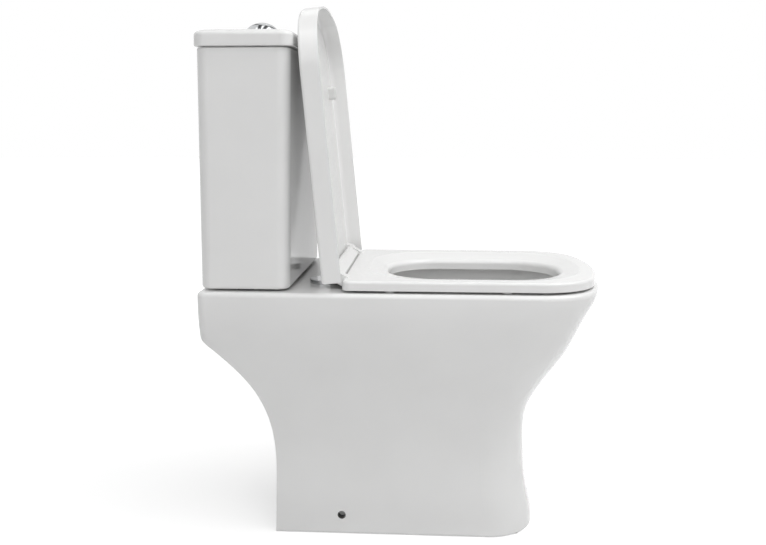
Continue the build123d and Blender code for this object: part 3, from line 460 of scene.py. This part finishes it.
# threads: a ridge spun up a helix, its foot sunk in the solid
threadForm = {"steps": 28, "sink": 0.00015, "flank": 0.42}  # flank as a share of the pitch
threadLook = {
    "bolt": {"radius": 0.004, "pitch": 0.00125, "ridge": 0.0003, "foot": 0.0008,
             "length": 0.020, "reach": 0.0075},
    "stud": {"radius": 0.004, "pitch": 0.00125, "ridge": 0.0003, "foot": 0.0008,
             "length": 0.014, "reach": 0.004},
    "shank": {"radius": 0.0104, "pitch": 0.00181, "ridge": 0.0004, "foot": 0.001,
              "length": 0.041},
}


def cutThread(shape, centre, bottom, look):
    low = bottom + look["foot"]
    high = low + look["length"]
    turns = (high - low) / look["pitch"]
    root = look["radius"] - threadForm["sink"]
    corners = [(root, -threadForm["flank"]), (look["radius"] + look["ridge"], 0.0),
               (root, threadForm["flank"])]
    verts = [shape.verts.new((centre[0] + r, centre[1], low + z * look["pitch"]))
             for r, z in corners]
    edges = [shape.edges.new(ends) for ends in zip(verts, verts[1:] + verts[:1])]
    bmesh.ops.spin(shape, geom=verts + edges, cent=centre, axis=(0, 0, 1),
                   dvec=(0, 0, look["pitch"] / threadForm["steps"]), angle=2 * pi * turns,
                   steps=round(threadForm["steps"] * turns))
    openEnds = [e for e in shape.edges if e.is_boundary]
    bmesh.ops.holes_fill(shape, edges=openEnds, sides=len(verts))


def threadPair(name, node, look):
    shape = bmesh.new()
    low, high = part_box(node)
    across = (high[0] - low[0]) / 2 - look["reach"]
    for side in (-1, 1):
        cutThread(shape, (side * across, (low[1] + high[1]) / 2, 0.0), low[2], look)
    settle(shape, name, steel, "toilet")


threadPair("boltThread", "cistern_bolts", threadLook["bolt"])
threadPair("studThread", "hinge_studs", threadLook["stud"])

fillAxis = (*middle("fill_valve_back_nut").xy, 0.0)
shankShape = bmesh.new()
cutThread(shankShape, fillAxis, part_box("fill_valve_body")[0][2], threadLook["shank"])
settle(shankShape, "shankThread", valveWhite, "toilet")
print("threads cut")


# moulded ribs, grips and bands
ribForm = {"bevelShare": 0.3, "bevelSegments": 2}


def ribRing(shape, node, radius, low, high, look, start=0.0):
    axis = (*middle(node).xy, 0.0)
    made = bmesh.ops.create_cube(shape, size=1.0)["verts"]
    bmesh.ops.scale(shape, vec=(2 * look["stand"], look["width"], high - low), verts=made)
    edges = list({e for v in made for e in v.link_edges})
    bmesh.ops.bevel(shape, geom=edges,
                    offset=min(look["width"], 2 * look["stand"]) * ribForm["bevelShare"],
                    segments=ribForm["bevelSegments"], profile=0.5, affect="EDGES", material=-1)
    rib = list(shape.verts)
    bmesh.ops.translate(shape, vec=(radius, 0.0, (low + high) / 2), verts=rib)
    bmesh.ops.rotate(shape, matrix=Matrix.Rotation(start, 3, "Z"), verts=rib)
    bmesh.ops.translate(shape, vec=axis, verts=rib)
    others = look["count"] - 1
    bmesh.ops.spin(shape, geom=shape.verts[:] + shape.edges[:] + shape.faces[:], cent=axis,
                   axis=(0, 0, 1), angle=2 * pi * others / look["count"], steps=others,
                   use_duplicate=True)


towerRibs = {"radius": 0.038, "stand": 0.0009, "width": 0.0022, "count": 20,
             "low": 0.070, "high": 0.135}
towerShape = bmesh.new()
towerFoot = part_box("flush_valve_tower")[0][2]
ribRing(towerShape, "flush_valve_tower", towerRibs["radius"], towerFoot + towerRibs["low"],
        towerFoot + towerRibs["high"], towerRibs, pi / towerRibs["count"])
settle(towerShape, "towerRibs", valveWhite, "toilet")

nutGrips = {"stand": 0.0011, "width": 0.003, "count": 18, "inset": 0.0012, "sink": 0.0004}
gripShape = bmesh.new()
nutLow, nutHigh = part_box("button_ring_nut")
ribRing(gripShape, "button_ring_nut", (nutHigh[0] - nutLow[0]) / 2 - nutGrips["sink"],
        nutLow[2] + nutGrips["inset"], nutHigh[2] - nutGrips["inset"], nutGrips)
settle(gripShape, "nutGrips", valveWhite, "cistern_cover")

floatBands = {
    "radius": 0.026,
    "profile": ((-0.0003, -0.0016), (0.00056, -0.00088), (0.0007, 0.0), (0.00056, 0.00088),
                (-0.0003, 0.0016)),  # out and up from the float's wall
    "heights": (0.014, 0.028, 0.042),
    "steps": 64,
    "sharp": 60.0,
}
bandShape = bmesh.new()
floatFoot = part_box("fill_valve_float")[0][2]
for height in floatBands["heights"]:
    loop = [bandShape.verts.new((fillAxis[0] + floatBands["radius"] + out, fillAxis[1],
                                 floatFoot + height + up)) for out, up in floatBands["profile"]]
    loopEdges = [bandShape.edges.new(ends) for ends in zip(loop, loop[1:] + loop[:1])]
    bmesh.ops.spin(bandShape, geom=loop + loopEdges, cent=fillAxis, axis=(0, 0, 1),
                   angle=2 * pi, steps=floatBands["steps"], use_merge=True)
settle(bandShape, "floatBands", valveGrey, "float", floatBands["sharp"])
print("valve detail moulded")


# studio: pale floor, cards for the gloss, white room, soft lamps
studio = {
    "floorSize": (30.0, 30.0),
    "floorPlace": (0.0, 0.0, -0.0004),
    "floorColour": (0.8, 0.8, 0.8, 1.0),
    "floorRoughness": 0.9,
    "floorGlow": (0.5, 0.74),  # near and far: brings the lit paper up to white for the camera
    "glowReach": (0.7, 2.6),
    "patchSize": (0.16, 0.36),  # floor inside the foot, which has no glow
    "patchPlace": (0.0, 0.0, -0.0002),
}


def layCard(name, size, place, finish):
    shape = bmesh.new()
    bmesh.ops.create_grid(shape, x_segments=1, y_segments=1, size=0.5)
    bmesh.ops.scale(shape, vec=(*size, 1.0), verts=shape.verts)
    mesh = bpy.data.meshes.new(name)
    shape.to_mesh(mesh)
    shape.free()
    mesh.materials.append(finish)
    card = bpy.data.objects.new(name, mesh)
    card.location = place
    scene.collection.objects.link(card)
    return card


def seenWhite(tree):
    path = tree.nodes.new("ShaderNodeLightPath").outputs
    first = reckon(tree, "MAXIMUM", path["Is Camera Ray"], path["Is Glossy Ray"])
    return reckon(tree, "MAXIMUM", first, path["Is Transmission Ray"])


def paper(name, glows):
    finish, tree, shader, place = startFinish(name)
    shader.inputs["Base Color"].default_value = studio["floorColour"]
    shader.inputs["Roughness"].default_value = studio["floorRoughness"]
    if glows:
        shader.inputs["Emission Color"].default_value = white
        lift = between(tree, distance(tree, place), *studio["floorGlow"], *studio["glowReach"])
        glow = reckon(tree, "MULTIPLY", seenWhite(tree), lift)
        tree.links.new(glow, shader.inputs["Emission Strength"])
    return finish


layCard("paperFloor", studio["floorSize"], studio["floorPlace"], paper("floorPaper", True))
layCard("shadePatch", studio["patchSize"], studio["patchPlace"], paper("shadePaper", False))

# grey and dark cards that only the gloss sees, as round a shiny thing in a studio
flags = {
    "greyFlag": {"place": (2.0, 0.35, 1.15), "size": (2.2, 2.6), "turn": (0, 90, 0),
                 "tone": 0.7},
    "overFlagBack": {"place": (0.25, 0.52, 2.3), "size": (1.5, 0.46), "turn": (0, 0, 0),
                     "tone": 0.08},
    "overFlagFront": {"place": (0.25, -0.06, 2.3), "size": (1.5, 0.44), "turn": (0, 0, 0),
                      "tone": 0.08},
    "leftFlag": {"place": (0.95, 0.72, 1.85), "size": (0.8, 0.3), "turn": (0, 60, 20),
                 "tone": 0.02},
    "rightFlag": {"place": (0.95, -0.25, 1.85), "size": (0.8, 0.3), "turn": (0, 60, -20),
                  "tone": 0.02},
}
flagFade = (0.45, 1.0)  # soft edges, as shares of the way out
flagHidden = ("camera", "diffuse", "shadow", "transmission", "volume_scatter")


def flagCloth(name, look):
    finish, tree, shader, place = startFinish(name)
    shader.inputs["Base Color"].default_value = black
    shader.inputs["Emission Color"].default_value = white
    outward = tree.nodes.new("ShaderNodeVectorMath")
    outward.operation = "DIVIDE"
    outward.inputs[1].default_value = (look["size"][0] / 2, look["size"][1] / 2, 1.0)
    tree.links.new(place, outward.inputs[0])
    parts = axes(tree, outward.outputs["Vector"])
    shares = [reckon(tree, "ABSOLUTE", parts[axis]) for axis in ("X", "Y")]
    fade = between(tree, reckon(tree, "MAXIMUM", *shares), look["tone"], 1.0, *flagFade)
    tree.links.new(fade, shader.inputs["Emission Strength"])
    return finish


for name, look in flags.items():
    flag = layCard(name, look["size"], look["place"], flagCloth(name + "Card", look))
    flag.rotation_euler = [radians(a) for a in look["turn"]]
    for ray in flagHidden:
        setattr(flag, "visible_" + ray, False)

whiteRoom = {"surround": 0.375, "seen": 1.0}  # its light on things, and as it looks itself
room = bpy.data.worlds.new("whiteRoom")
scene.world = room
room.use_nodes = True
roomTree = room.node_tree
roomLight = roomTree.nodes["Background"]
roomLight.inputs["Color"].default_value = white
shine = between(roomTree, seenWhite(roomTree), whiteRoom["surround"], whiteRoom["seen"], 0.0, 1.0)
roomTree.links.new(shine, roomLight.inputs["Strength"])

# soft square lamps, high up
lamps = {
    "topLamp": {"place": (-0.5, -0.3, 2.7), "size": 2.4, "power": 24.0,
                "aim": (0.0, -0.05, 0.35)},
    "leftLamp": {"place": (-1.9, -0.2, 2.0), "size": 1.8, "power": 11.0,
                 "aim": (0.0, -0.05, 0.35)},
    "frontLamp": {"place": (-0.3, -1.5, 2.3), "size": 1.4, "power": 16.0,
                  "aim": (0.0, 0.12, 0.6)},
}
for name, setting in lamps.items():
    lamp = bpy.data.lights.new(name, "AREA")
    lamp.shape = "SQUARE"
    lamp.size = setting["size"]
    lamp.energy = setting["power"]
    holder = bpy.data.objects.new(name, lamp)
    holder.location = setting["place"]
    aim = Vector(setting["aim"]) - Vector(setting["place"])
    holder.rotation_euler = aim.to_track_quat("-Z", "Y").to_euler()
    scene.collection.objects.link(holder)
print("studio lit")
